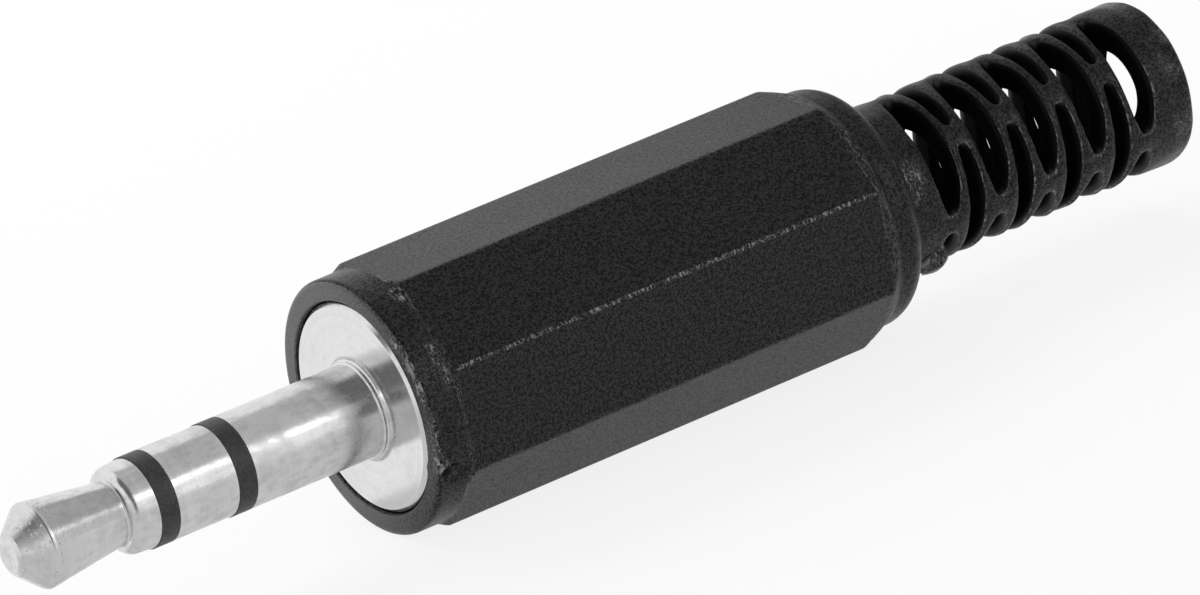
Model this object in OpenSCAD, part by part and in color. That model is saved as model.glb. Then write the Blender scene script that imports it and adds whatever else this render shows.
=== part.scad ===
// Three-contact 3.5 mm audio jack plug with a screw-off handle and a slotted strain relief.
// The plug lies along X: the tip points to -X, the cable leaves to +X.
// The origin is on the axis of the barrel, at the front face of the flange.

/* [Nose] */
// Diameter of the barrel that enters the socket
barrel_d = 3.5; // [3.4:0.02:3.7]
// Length of the sleeve contact, from the flange face to the rear band
sleeve_len = 5.6; // [5:0.1:6.5]
// Width of each insulating band
band_w = 0.75; // [0.5:0.05:0.9]
// Length of the ring contact between the two bands
ring_len = 2.5; // [2:0.1:3]
// Depth of the ring and front band under the barrel's surface
ring_step = 0.03; // [0:0.01:0.06]
// Length of the tip, from the front band to the point
tip_len = 5.3; // [5:0.1:6]
// Largest diameter of the tip head
tip_d = 3.2; // [3:0.05:3.3]
// Length of the cone at the point
tip_cone_len = 1.05; // [0.9:0.05:1.3]
// Diameter of the blunt face at the point
tip_blunt_d = 1.2; // [1:0.05:1.4]
// Width of the bevel between the blunt face and the cone
tip_bevel_w = 0.2; // [0.1:0.05:0.3]
// Depth of that bevel
tip_bevel_h = 0.1; // [0.05:0.01:0.15]
// Diameter of the neck behind the tip head
tip_neck_d = 2.4; // [2.2:0.05:2.7]
// Diameter of the collar behind the neck, where it meets the front band
tip_collar_d = 3.36; // [3.3:0.02:3.4]
// How much smaller the collar is at its front
tip_collar_taper = 0.08; // [0.04:0.02:0.12]
// Length of the collar, with its rounded front
tip_collar_len = 1.05; // [0.8:0.05:1.3]

/* [Nested stack] */
// Diameter of the tip's rod
rod_d = 1; // [0.8:0.05:1.1]
// Wall of each insulating tube
tube_wall = 0.27; // [0.22:0.01:0.3]
// Wall of the ring contact's tube
ring_tube_wall = 0.28; // [0.24:0.01:0.32]
// Gap between pieces that slip into each other
nest_gap = 0.02; // [0.01:0.01:0.03]

/* [Sleeve body] */
// Diameter of the bead at the root of the barrel
bead_d = 3.84; // [3.84:0.02:4]
// Length of the bead
bead_len = 0.4; // [0.3:0.05:0.5]
// Diameter of the flange disc
flange_d = 7.8; // [7.4:0.1:8.2]
// Thickness of the flange disc
flange_t = 1; // [0.8:0.1:1.4]
// Chamfer round the face of the flange
flange_chamfer = 0.12; // [0.05:0.01:0.2]
// Outer diameter of the thread on the neck
thread_d = 6.8; // [6.6:0.05:7]
// Length of the threaded neck
thread_len = 5.2; // [4.5:0.1:6]
// Width of the relief groove behind the flange
groove_w = 0.5; // [0.3:0.1:0.8]
// Depth of the relief groove
groove_depth = 0.4; // [0.2:0.05:0.5]
// Diameter of the spigot that holds the ground tag
spigot_d = 3.8; // [3.6:0.1:4]
// Height of the rolled rim of the spigot behind the tag
spigot_rim_h = 0.3; // [0.2:0.05:0.4]
// How far the rim is rolled out over the tag
spigot_rim_out = 0.3; // [0.2:0.05:0.4]

/* [Tags and washers] */
// Sheet thickness of the ground tag
ground_t = 0.4; // [0.3:0.05:0.5]
// How far the ground tag's eye stands out past its clamp
ground_eye_out = 0.1; // [0.05:0.05:0.15]
// Width of the ground tag's strip
ground_strip_w = 2.6; // [2:0.1:2.8]
// Outer diameter of the cable clamp
clamp_d = 5.6; // [5.4:0.1:5.8]
// Length of the cable clamp
clamp_len = 3.3; // [2.5:0.1:3.6]
// Height of the clamp's wings above the axis
clamp_wing_h = 1.2; // [0.8:0.1:1.4]
// Length of the strip between the eye and the clamp
ground_strip_len = 5.4; // [4.5:0.1:6]
// Thickness of each insulating washer
washer_t = 0.6; // [0.5:0.05:0.8]
// Gap between the ground tag's strip and the washer that it passes
strip_gap = 0.1; // [0.05:0.05:0.2]
// Diameter of the washer between the two tags
tip_washer_d = 3.6; // [3.3:0.1:3.7]
// Sheet thickness of the ring and tip tags
tag_t = 0.3; // [0.25:0.05:0.35]
// How far the ring washer stands out past the ring tag's eye
ring_washer_out = 0.1; // [0.05:0.05:0.2]
// Diameter of the tip tag's eye
tip_eye_d = 3.2; // [2.8:0.1:3.4]
// Width of the ring and tip tags
tag_w = 1.8; // [1.4:0.1:2]
// Length of the ring tag behind its eye
ring_tag_len = 3.6; // [3:0.1:4]
// Length of the tip tag behind its eye
tip_tag_len = 2.8; // [2.4:0.1:3.2]
// Diameter of the solder hole in each tag
solder_hole_d = 0.9; // [0.7:0.1:1]
// Height of the rolled or peened end behind each tag
peen_h = 0.25; // [0.2:0.05:0.3]
// How far a rolled or peened end spreads over its tag
peen_out = 0.3; // [0.2:0.05:0.4]
// How far the ring and tip tags are turned from the top of the plug
tag_turn = 50; // [45:5:60]

/* [Handle] */
// Width of the octagon across its corners
across_corners = 10.06; // [9.8:0.02:10.6]
// Length of the octagon, from the rim to the start of its rear chamfer
octagon_len = 19.85; // [19:0.1:22]
// Diameter of the round collar at the front
front_collar_d = 9.6; // [9.4:0.05:9.7]
// Length of the round collar at the front
front_collar_len = 1.25; // [1:0.05:1.6]
// Rounding of the front rim
rim_round = 0.2; // [0.1:0.05:0.3]
// Diameter of the round collar at the back
rear_collar_d = 9.1; // [9:0.05:9.3]
// Length of the chamfer at the back of the octagon
rear_chamfer_len = 0.65; // [0.5:0.05:1]
// Length of the round collar at the back
rear_collar_len = 0.45; // [0.3:0.05:0.8]
// Rounding between the rear collar and the back face
back_round = 0.9; // [0.5:0.05:1.1]
// Gap round the flange in its recess
flange_gap = 0.06; // [0.04:0.01:0.1]
// Radial gap round the thread
thread_gap = 0.05; // [0.03:0.01:0.1]
// Free length of the threaded hole behind the neck
thread_run_out = 0.4; // [0.2:0.1:0.8]
// Gap between the ground tag's eye and the wall of the chamber
chamber_gap = 0.3; // [0.2:0.05:0.35]
// Free length of the chamber behind the cable clamp
chamber_spare_len = 4.38; // [4.2:0.02:5.2]

/* [Strain relief] */
// Outer diameter of the strain relief
boot_d = 6.34; // [6.2:0.02:6.6]
// Diameter of the cable bore
cable_bore_d = 4.4; // [4.2:0.05:4.5]
// Plain length between the back face and the first slots
boot_root_len = 1.59; // [1.2:0.01:2]
// Rows of slots that lie in line with the first one
slot_rows = 5; // [2:1:6]
// Distance between two such rows
slot_pitch = 2.225; // [2.1:0.025:2.6]
// Slots in each row
slots_round = 3; // [2:1:3]
// Width of a slot at its middle
slot_w = 1.05; // [0.7:0.05:1.1]
// Width of a slot at its two ends
slot_end_w = 0.35; // [0.2:0.05:0.6]
// Angle of the bridge between two slots of a row
bridge_angle = 16; // [12:1:24]
// Angle of the middle of the first slot, from +Y towards +Z
slot_turn = 21.5; // [0:0.5:60]
// Plain length of the end ring
end_ring_len = 1.65; // [1.2:0.05:2.5]
// Rounding of the end of the strain relief
boot_end_round = 0.35; // [0.2:0.05:0.5]

/* [Hidden] */

// Facets of the round solids
fine = 96;
coarse = 48;
// Overlap that keeps a cut clear of the face it passes through
cut = 1;
// How far the rounding of the octagon's ends runs on past its corners
sink = 0.1;

// Places along the nose, counted back from the flange face at 0
rear_band_x = -sleeve_len - band_w;
ring_x = rear_band_x - ring_len;
front_band_x = ring_x - band_w;
point_x = front_band_x - tip_len;

// Radii of the nested stack, from the rod outwards
barrel_r = barrel_d / 2;
ring_r = barrel_r - ring_step;
rod_r = rod_d / 2;
tip_tube_in = rod_r + nest_gap;
tip_tube_out = tip_tube_in + tube_wall;
ring_tube_in = tip_tube_out + nest_gap;
ring_tube_out = ring_tube_in + ring_tube_wall;
sleeve_tube_in = ring_tube_out + nest_gap;
sleeve_tube_out = sleeve_tube_in + tube_wall;
sleeve_bore_r = sleeve_tube_out + nest_gap;

// Places along the stack behind the flange
neck_end_x = flange_t + thread_len;
ground_end_x = neck_end_x + ground_t;
spigot_end_x = ground_end_x + spigot_rim_h;
ring_washer_end_x = spigot_end_x + washer_t;
ring_lug_end_x = ring_washer_end_x + tag_t;
ring_tube_end_x = ring_lug_end_x + peen_h;
tip_washer_end_x = ring_tube_end_x + washer_t;
tip_lug_end_x = tip_washer_end_x + tag_t;
rod_end_x = tip_lug_end_x + peen_h;

// Cable clamp of the ground tag
clamp_r = clamp_d / 2;
clamp_x = ground_end_x + ground_strip_len;
clamp_end_x = clamp_x + clamp_len;
ground_eye_r = clamp_r + ground_eye_out;

// Washer and eye of the ring tag, inside the strip
ring_washer_r = clamp_r - ground_t - strip_gap;
ring_eye_r = ring_washer_r - ring_washer_out;

// Handle
corner_r = across_corners / 2;
collar_r = front_collar_d / 2;
rear_collar_r = rear_collar_d / 2;
flat_r = corner_r * cos(22.5);
round_r = corner_r + sink;
front_chamfer_end_x = front_collar_len + corner_r - collar_r;
front_fair_end_x = front_collar_len + collar_r - flat_r;
rear_chamfer_end_x = octagon_len + rear_chamfer_len;
rear_collar_end_x = rear_chamfer_end_x + rear_collar_len;
back_x = rear_collar_end_x + back_round;
boot_r = boot_d / 2;
recess_r = flange_d / 2 + flange_gap;
thread_hole_r = thread_d / 2 + thread_gap;
thread_hole_end_x = neck_end_x + thread_run_out;
chamber_r = ground_eye_r + chamber_gap;
chamber_end_x = clamp_end_x + chamber_spare_len;
bore_r = cable_bore_d / 2;

// Slots of the strain relief
first_slot_x = back_x + boot_root_len + slot_w / 2;
last_slot_x = first_slot_x + (slot_rows - 1) * slot_pitch;
boot_end_x = last_slot_x + slot_w / 2 + end_ring_len;
slot_step = 360 / slots_round;
slot_half_angle = (slot_step - bridge_angle) / 2;

// An outline in (radius, x), revolved about the X axis
module turned(facets = fine) {
    rotate([0, 90, 0])
        rotate_extrude($fn = facets)
            children();
}

// A round tube along X
module tube(outer_r, inner_r, from_x, to_x) {
    turned()
        translate([inner_r, from_x])
            square([outer_r - inner_r, to_x - from_x]);
}

// A round cut along X
module bore(r, from_x, to_x) {
    translate([from_x, 0, 0])
        rotate([0, 90, 0])
            cylinder(r = r, h = to_x - from_x, $fn = fine);
}

// Where on the axis a sphere through two points (x, radius) has its centre
function centre_x(x1, r1, x2, r2) = (x1 + x2) / 2 + (pow(r2, 2) - pow(r1, 2)) / (2 * (x2 - x1));

// Half outline of such a sphere in (radius, x), between two places and no wider than max_r
module round_end(one, other, max_r, from_x, to_x) {
    cx = centre_x(one[1], one[0], other[1], other[0]);
    intersection() {
        translate([0, cx])
            circle(r = sqrt(pow(one[1] - cx, 2) + pow(one[0], 2)), $fn = fine);
        translate([0, from_x])
            square([max_r, to_x - from_x]);
    }
}

// Points of an arc in (radius, x): centre, radius, start and end angle
function arc(centre, r, from_a, to_a, steps = 8) =
    [for (i = [0:steps])
        let (a = from_a + (to_a - from_a) * i / steps)
        [centre[0] + r * cos(a), centre[1] + r * sin(a)]];

module tip_pin() {
    head_r = tip_d / 2;
    blunt_r = tip_blunt_d / 2;
    head_x = point_x + tip_cone_len;
    collar_r = tip_collar_d / 2;
    neck_r = tip_neck_d / 2;
    neck_x = front_band_x - tip_collar_len;
    shoulder_r = collar_r - tip_collar_taper / 2 - neck_r;
    land = 0.1;
    color("silver")
        turned()
            polygon(concat(
                [[0, point_x], [blunt_r, point_x]],
                [[blunt_r + tip_bevel_w, point_x + tip_bevel_h]],
                [[head_r - 0.03, head_x - 0.05], [head_r, head_x], [head_r, head_x + land]],
                arc([neck_r, neck_x + shoulder_r], shoulder_r, -90, 0),
                [[collar_r, front_band_x], [rod_r, front_band_x], [rod_r, tip_lug_end_x]],
                [[rod_r + peen_out, tip_lug_end_x], [rod_r + peen_out * 0.6, rod_end_x], [0, rod_end_x]]
            ));
}

module tip_insulator() {
    color([0.16, 0.16, 0.17])
        turned()
            polygon([
                [tip_tube_in, front_band_x], [ring_r, front_band_x], [ring_r, ring_x],
                [tip_tube_out, ring_x], [tip_tube_out, ring_washer_end_x], [tip_tube_in, ring_washer_end_x]
            ]);
}

module ring_contact() {
    rolled_r = ring_tube_out + peen_out;
    color("silver")
        turned()
            polygon([
                [ring_tube_in, ring_x], [ring_r, ring_x], [ring_r, rear_band_x],
                [ring_tube_out, rear_band_x], [ring_tube_out, ring_lug_end_x], [rolled_r, ring_lug_end_x],
                [rolled_r - peen_h / 2, ring_tube_end_x], [ring_tube_in, ring_tube_end_x]
            ]);
}

module ring_insulator() {
    color([0.16, 0.16, 0.17])
        turned()
            polygon([
                [sleeve_tube_in, rear_band_x], [barrel_r, rear_band_x], [barrel_r, -sleeve_len],
                [sleeve_tube_out, -sleeve_len], [sleeve_tube_out, spigot_end_x], [sleeve_tube_in, spigot_end_x]
            ]);
}

module sleeve_body() {
    bead_r = bead_d / 2;
    bead_round = bead_r - barrel_r;
    flange_r = flange_d / 2;
    thread_r = thread_d / 2;
    lead_in = 0.3;
    spigot_r = spigot_d / 2;
    rim_r = spigot_r + spigot_rim_out;
    color("silver")
        turned()
            polygon(concat(
                [[sleeve_bore_r, -sleeve_len], [barrel_r, -sleeve_len], [barrel_r, -bead_len]],
                arc([barrel_r, -bead_len + bead_round], bead_round, -90, 0, 4),
                [[bead_r, 0], [flange_r - flange_chamfer, 0], [flange_r, flange_chamfer], [flange_r, flange_t]],
                [[thread_r - groove_depth, flange_t], [thread_r - groove_depth, flange_t + groove_w]],
                [[thread_r, flange_t + groove_w + groove_depth], [thread_r, neck_end_x - lead_in]],
                [[thread_r - lead_in, neck_end_x], [spigot_r, neck_end_x], [spigot_r, ground_end_x]],
                [[rim_r, ground_end_x], [rim_r - spigot_rim_h / 2, spigot_end_x], [sleeve_bore_r, spigot_end_x]]
            ));
}

// The ground tag: an eye on the spigot, a strip along the underside and a curled cable clamp
module ground_lug() {
    clamp_in = clamp_r - ground_t;
    color([0.78, 0.76, 0.7]) {
        tube(ground_eye_r, spigot_d / 2, neck_end_x, ground_end_x);
        translate([neck_end_x, -ground_strip_w / 2, -clamp_r])
            cube([clamp_x - neck_end_x + ground_t, ground_strip_w, ground_t]);
        difference() {
            tube(clamp_r, clamp_in, clamp_x, clamp_end_x);
            translate([clamp_x - cut, -clamp_r - cut, 0])
                cube([clamp_len + 2 * cut, clamp_d + 2 * cut, clamp_r + cut]);
        }
        for (side = [-1, 1])
            translate([clamp_x, side * (clamp_r - ground_t / 2) - ground_t / 2, 0])
                cube([clamp_len, ground_t, clamp_wing_h]);
    }
}

// A solder tag: an eye with a leg bent back along the plug, drilled for its wire
module solder_tag(eye_r, hole_r, from_x, leg_len, turn) {
    leg_end_x = from_x + tag_t + leg_len;
    rotate([turn, 0, 0]) {
        tube(eye_r, hole_r, from_x, from_x + tag_t);
        difference() {
            translate([from_x, -tag_w / 2, eye_r - tag_t / 2])
                cube([tag_t + leg_len, tag_w, tag_t]);
            translate([leg_end_x - solder_hole_d, 0, 0])
                cylinder(d = solder_hole_d, h = eye_r + tag_t, $fn = coarse);
        }
    }
}

module ring_washer() {
    color([0.85, 0.83, 0.76])
        tube(ring_washer_r, ring_tube_out, spigot_end_x, ring_washer_end_x);
}

module ring_lug() {
    color([0.78, 0.76, 0.7])
        solder_tag(ring_eye_r, ring_tube_out, ring_washer_end_x, ring_tag_len, -tag_turn);
}

// Recessed over the rolled end of the ring's tube
module tip_washer() {
    color([0.85, 0.83, 0.76])
        difference() {
            tube(tip_washer_d / 2, rod_r, ring_lug_end_x, tip_washer_end_x);
            bore(ring_tube_out + peen_out + nest_gap, ring_lug_end_x - cut, ring_tube_end_x);
        }
}

module tip_lug() {
    color([0.78, 0.76, 0.7])
        solder_tag(tip_eye_d / 2, rod_r, tip_washer_end_x, tip_tag_len, tag_turn);
}

// One slot of the strain relief, its middle facing +Y. Two long arcs bound it, so that it narrows
// from slot_w at its middle to slot_end_w at its ends, which are cut square to the wall.
module slot_cut() {
    reach_r = boot_r + cut;
    floor_r = bore_r - cut;
    half_len = boot_r * sin(slot_half_angle);
    rise = (slot_w - slot_end_w) / 2;
    arc_r = (pow(half_len, 2) + pow(rise, 2)) / (2 * rise);
    intersection() {
        rotate([-90, 0, 0])
            linear_extrude(height = reach_r)
                intersection_for(side = [-1, 1])
                    translate([side * (arc_r - slot_w / 2), 0])
                        circle(r = arc_r, $fn = 4 * fine);
        rotate([0, 90, 0])
            rotate([0, 0, 90 - slot_half_angle])
                rotate_extrude(angle = 2 * slot_half_angle, $fn = fine)
                    translate([floor_r, -slot_w])
                        square([reach_r - floor_r, 2 * slot_w]);
    }
}

// Rows of slots, every second row turned by half a step
module relief_slots() {
    for (row = [0:2 * slot_rows - 2])
        translate([first_slot_x + row * slot_pitch / 2, 0, 0])
            for (k = [0:slots_round - 1])
                rotate([slot_turn + (k + (row % 2) / 2) * slot_step, 0, 0])
                    slot_cut();
}

// The handle and its strain relief are one moulding
module cover() {
    color([0.11, 0.11, 0.12])
        difference() {
            union() {
                intersection() {
                    rotate([0, 90, 0])
                        rotate([0, 0, 22.5])
                            cylinder(r = corner_r, h = rear_chamfer_end_x + cut, $fn = 8);
                    turned() {
                        round_end([collar_r, front_collar_len], [round_r, front_chamfer_end_x + sink],
                                  round_r, front_collar_len - sink, front_chamfer_end_x + sink);
                        translate([0, front_chamfer_end_x + sink / 2])
                            square([round_r, octagon_len - front_chamfer_end_x - 3 * sink / 2]);
                        round_end([corner_r, octagon_len], [rear_collar_r, rear_chamfer_end_x],
                                  round_r, octagon_len - 2 * sink, rear_chamfer_end_x + sink);
                    }
                }
                turned() {
                    polygon(concat(
                        [[0, 0]],
                        arc([collar_r - rim_round, rim_round], rim_round, -90, 0, 4),
                        [[collar_r, front_collar_len - sink / 2], [0, front_collar_len - sink / 2]]
                    ));
                    round_end([collar_r, front_collar_len], [flat_r, front_fair_end_x],
                              collar_r, front_collar_len - sink, front_fair_end_x + sink);
                }
                turned()
                    polygon(concat(
                        [[0, octagon_len], [rear_collar_r, octagon_len]],
                        arc([rear_collar_r - back_round, rear_collar_end_x], back_round, 0, 90, 8),
                        [[boot_r, back_x], [boot_r, boot_end_x - boot_end_round]],
                        arc([boot_r - boot_end_round, boot_end_x - boot_end_round], boot_end_round, 0, 90, 4),
                        [[0, boot_end_x]]
                    ));
            }
            bore(recess_r, -cut, flange_t);
            bore(thread_hole_r, 0, thread_hole_end_x);
            bore(chamber_r, 0, chamber_end_x);
            turned()
                polygon([
                    [0, chamber_end_x], [chamber_r, chamber_end_x],
                    [bore_r, chamber_end_x + chamber_r - bore_r], [0, chamber_end_x + chamber_r - bore_r]
                ]);
            bore(bore_r, chamber_end_x, boot_end_x + cut);
            relief_slots();
        }
}

tip_pin();
tip_insulator();
ring_contact();
ring_insulator();
sleeve_body();
ground_lug();
ring_washer();
ring_lug();
tip_washer();
tip_lug();
cover();
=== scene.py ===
import bpy
import bmesh
import math
from mathutils import Matrix, Vector, noise


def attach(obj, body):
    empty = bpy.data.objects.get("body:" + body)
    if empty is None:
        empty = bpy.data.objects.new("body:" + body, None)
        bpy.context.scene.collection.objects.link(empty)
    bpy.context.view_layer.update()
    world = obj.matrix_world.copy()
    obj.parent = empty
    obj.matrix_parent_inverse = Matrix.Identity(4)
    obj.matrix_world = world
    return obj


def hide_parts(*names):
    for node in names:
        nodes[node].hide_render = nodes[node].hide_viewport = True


# Three-contact audio jack plug: sizes below are in millimetres, in the frame of the CAD model
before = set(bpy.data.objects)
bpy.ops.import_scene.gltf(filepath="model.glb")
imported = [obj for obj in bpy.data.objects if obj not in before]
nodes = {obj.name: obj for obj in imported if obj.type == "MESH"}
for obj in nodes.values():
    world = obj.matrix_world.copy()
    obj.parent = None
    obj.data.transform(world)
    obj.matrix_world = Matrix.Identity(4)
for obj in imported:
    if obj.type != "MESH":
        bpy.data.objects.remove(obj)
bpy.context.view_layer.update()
mm = 0.001
white = (1, 1, 1, 1)
scene = bpy.context.scene
scene.view_settings.view_transform = "Standard"
print("frame loaded:", len(nodes), "nodes")


def addObject(name, data):
    made = bpy.data.objects.new(name, data)
    scene.collection.objects.link(made)
    return made


# Camera at the photograph's viewing angle
cameraPlan = {
    "roll": 22.738,  # turn of the plug's axis in the picture, in degrees
    "tilt": 29.0,  # how far the nose points towards the camera
    "rise": 22.5,  # how far above the side the camera looks from
    "offsetRight": -8.42,  # place of the flange's centre, from the middle of the picture
    "offsetUp": -3.9158,
    "pixelsPerMm": 28.42,
    "distance": 400.0,
    "pictureWidth": 1200,
    "sensorWidth": 36,
    "clip": (0.01, 10),  # in metres
}


def buildCamera(plan):
    rise, tilt, roll = (math.radians(plan[k]) for k in ("rise", "tilt", "roll"))
    along = Vector((1, 0, 0))
    sideways = Vector((0, -math.cos(rise), math.sin(rise)))
    upward = Vector((0, math.sin(rise), math.cos(rise)))
    back = along * -math.sin(tilt) + sideways * math.cos(tilt)
    flat = along * math.cos(tilt) + sideways * math.sin(tilt)
    right = flat * math.cos(roll) - upward * math.sin(roll)
    up = flat * math.sin(roll) + upward * math.cos(roll)
    place = back * plan["distance"] - right * plan["offsetRight"] - up * plan["offsetUp"]
    data = bpy.data.cameras.new("camera")
    data.sensor_width = plan["sensorWidth"]
    data.lens = plan["pixelsPerMm"] * plan["distance"] * plan["sensorWidth"] / plan["pictureWidth"]
    data.clip_start, data.clip_end = plan["clip"]
    camera = addObject("camera", data)
    turn = Matrix((right, up, back)).transposed().to_4x4()
    camera.matrix_world = Matrix.Translation(place * mm) @ turn
    scene.camera = camera
    return back


toCamera = buildCamera(cameraPlan)
print("camera made")


# Node maths: a value of a node tree, with the operators that materials and Geometry Nodes use
class Value:
    def __init__(self, tree, socket):
        self.tree = tree
        self.socket = socket

    def maths(self, operation, *others):
        operands = dict(enumerate((self, *others)))
        return addNode(self.tree, "ShaderNodeMath", {"operation": operation}, operands)

    def __add__(self, other):
        return self.maths("ADD", other)

    def __sub__(self, other):
        return self.maths("SUBTRACT", other)

    def __mul__(self, other):
        return self.maths("MULTIPLY", other)

    def __truediv__(self, other):
        return self.maths("DIVIDE", other)

    def __rsub__(self, other):
        return addNode(self.tree, "ShaderNodeMath", {"operation": "SUBTRACT"}, {0: other, 1: self})

    __radd__, __rmul__ = __add__, __mul__

    def clamped(self):
        return addNode(self.tree, "ShaderNodeClamp", {}, {"Value": self})

    def between(self, low, high):
        # 0 up to low and 1 from high on, with a smooth change from one to the other
        return addNode(self.tree, "ShaderNodeMapRange", {"interpolation_type": "SMOOTHSTEP"},
                       {"Value": self, "From Min": low, "From Max": high})


def connect(tree, socket, value):
    if isinstance(value, Value):
        tree.links.new(value.socket, socket)
    else:
        socket.default_value = value


def addNode(tree, kind, settings=None, inputs=None, output=0):
    made = tree.nodes.new(kind)
    for key, value in (settings or {}).items():
        setattr(made, key, value)
    for key, value in (inputs or {}).items():
        connect(tree, made.inputs[key], value)
    return Value(tree, made.outputs[output])


def splitVector(vector):
    split = vector.tree.nodes.new("ShaderNodeSeparateXYZ")
    connect(vector.tree, split.inputs[0], vector)
    return [Value(vector.tree, s) for s in split.outputs]


def distance(a, b):
    return (a * a + b * b).maths("SQRT")


def grey(level):
    return (level, level, level, 1)


class Shader:
    def __init__(self, name):
        self.material = bpy.data.materials.new(name)
        self.material.use_nodes = True
        self.tree = self.material.node_tree
        self.surface = self.tree.nodes["Principled BSDF"]
        self.output = self.tree.nodes["Material Output"]

    def node(self, kind, settings=None, inputs=None, output=0):
        return addNode(self.tree, kind, settings, inputs, output)

    def set(self, **inputs):
        for key, value in inputs.items():
            connect(self.tree, self.surface.inputs[key.replace("_", " ")], value)

    def objectPoint(self):
        return self.node("ShaderNodeTexCoord", output="Object")

    def vector(self, x, y, z=0.0):
        return self.node("ShaderNodeCombineXYZ", {}, {"X": x, "Y": y, "Z": z})

    def noise(self, point, size, detail=2.0, rough=0.5, kind="3D"):
        return self.node("ShaderNodeTexNoise", {"noise_dimensions": kind},
                         {"Vector": point, "Scale": 1 / (size * mm), "Detail": detail, "Roughness": rough})

    def blend(self, factor, first, second):
        # a Mix node's colours go into sockets 6 and 7 and come out of socket 2
        return self.node("ShaderNodeMix", {"data_type": "RGBA"}, {0: factor, 6: first, 7: second}, 2)

    def bump(self, height, depth, strength=1.0, before=None):
        inputs = {"Height": height, "Distance": depth * mm, "Strength": strength}
        if before is not None:
            inputs["Normal"] = before
        return self.node("ShaderNodeBump", {}, inputs)

    def mark(self, name):
        return self.node("ShaderNodeAttribute", {"attribute_name": name}, output="Fac")

    def end(self, last):
        self.tree.links.new(last.socket, self.output.inputs["Surface"])
        return self.material

    def shade(self, share):
        # painted shade: pores and depths are mixed towards black as if they swallowed the light; the rest of
        # the surface shows by this share
        black = self.node("ShaderNodeBsdfDiffuse", {}, {"Color": grey(0.002)})
        lit = Value(self.tree, self.surface.outputs[0])
        return self.end(self.node("ShaderNodeMixShader", {}, {0: share, 1: black, 2: lit}))


# Plated metal that was turned on a lathe: marks run round the axis, on barrels and on faces alike
platedLook = {
    "tone": 0.79, "rough": 0.15,
    "marks": 0.045, "markDepth": 0.0014,  # width and depth of the turning marks
    "cloud": 1.1, "smear": 0.22, "stretch": 0.45,  # worn clouds, and smears that run along the plug
    "dentDepth": 0.0075, "pitsPerMetre": 5200.0, "pitDepth": 3.5,
    # the last two set where a painted reflection darkens the barrel in front of the bead
    "pitsBefore": -13.4, "faceFrom": 1.95, "faceSure": 2.1, "rootReflectionFrom": -1.9, "rootReflectionTo": -0.5,
}
sleeveLook = {**platedLook, "rough": 0.21}


def turnedMetal(name, look):
    s = Shader(name)
    point = s.objectPoint()
    x, y, z = splitVector(point)
    radius = distance(y, z)
    ring = s.vector(x, radius)
    fine = s.noise(ring, look["marks"], 3.0, 0.6, "2D")
    broad = s.noise(ring, look["marks"] * 9, kind="2D")
    cloud = s.noise(point, look["cloud"], 3.0, 0.6)
    smear = s.noise(s.vector(x * look["stretch"], y, z), look["smear"])  # from years in sockets
    # on the metal these are worn clouds and smears only, which dull it
    wornAndGlinting = (cloud * 0.6 + smear * 0.4).between(0.4, 0.68)
    streak = (fine * 0.6 + broad * 0.4).between(0.32, 0.7)
    face = radius.between(look["faceFrom"] * mm, look["faceSure"] * mm)  # finer turned than the barrel
    cone = x.maths("LESS_THAN", look["pitsBefore"] * mm)
    cells = s.node("ShaderNodeTexVoronoi", {"feature": "F1"},
                   {"Vector": point, "Scale": look["pitsPerMetre"]})
    spread = s.noise(point, 0.5, 1.0).between(0.46, 0.6)
    pit = (1 - cells.between(0.14, 0.3)) * spread * cone
    # painted reflection: a dark, smudgy band on the barrel in front of the bead, where the disc shows in the
    # metal
    far, near = look["rootReflectionFrom"] * mm, look["rootReflectionTo"] * mm
    paintedRootReflection = x.between(far, near) * (1 - x.between(near, near + 0.1 * mm)) * smear.between(0.44, 0.58)
    clean = s.blend(streak, grey(look["tone"] * 0.92), grey(look["tone"] * 1.04))
    dull = (wornAndGlinting * (0.55 - face * 0.4)).maths("MAXIMUM", paintedRootReflection * 0.15 + cone * (0.15 + wornAndGlinting * 0.4))
    height = (smear * 0.6 + cloud * 0.4) * (1 - face * 0.7) - pit * look["pitDepth"]
    dents = s.bump(height, look["dentDepth"], 0.8)
    s.set(Base_Color=s.blend(dull, clean, grey(look["tone"] * 0.6)),
          Metallic=1.0,
          Roughness=(look["rough"] + streak * 0.05 + wornAndGlinting * 0.14 + cone * 0.06) * (1 - face * 0.3),
          Normal=s.bump(fine * 0.45 + broad * 0.55, look["markDepth"], 1.0, dents))
    return s.material


# Moulded plastic with the fine grain of a spark-eroded tool, painted shade in its pores, and painted glints
# and sheen on rubbed edges, flaws and the front face
plasticLook = {
    "tone": 0.005, "rubbedAndGlintTone": 0.4, "rough": 0.3,
    "grain": 0.062, "grainDepth": 0.014,
    "darkest": 0.28, "grazing": 1.9,  # what shows of a pore through its painted shade, and how the pores close up in a flat view
    "patch": 2.4, "crumb": 0.1, "crumbDepth": 0.035, "scratch": 0.09,
    # the last two set where a painted sheen grows on the front face towards the far side
    "reliefFrom": 23.1, "dustFrom": 33.9, "dustSure": 34.4, "paintedSheenFrom": -3.5, "paintedSheenSure": 1.5,
}


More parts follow.
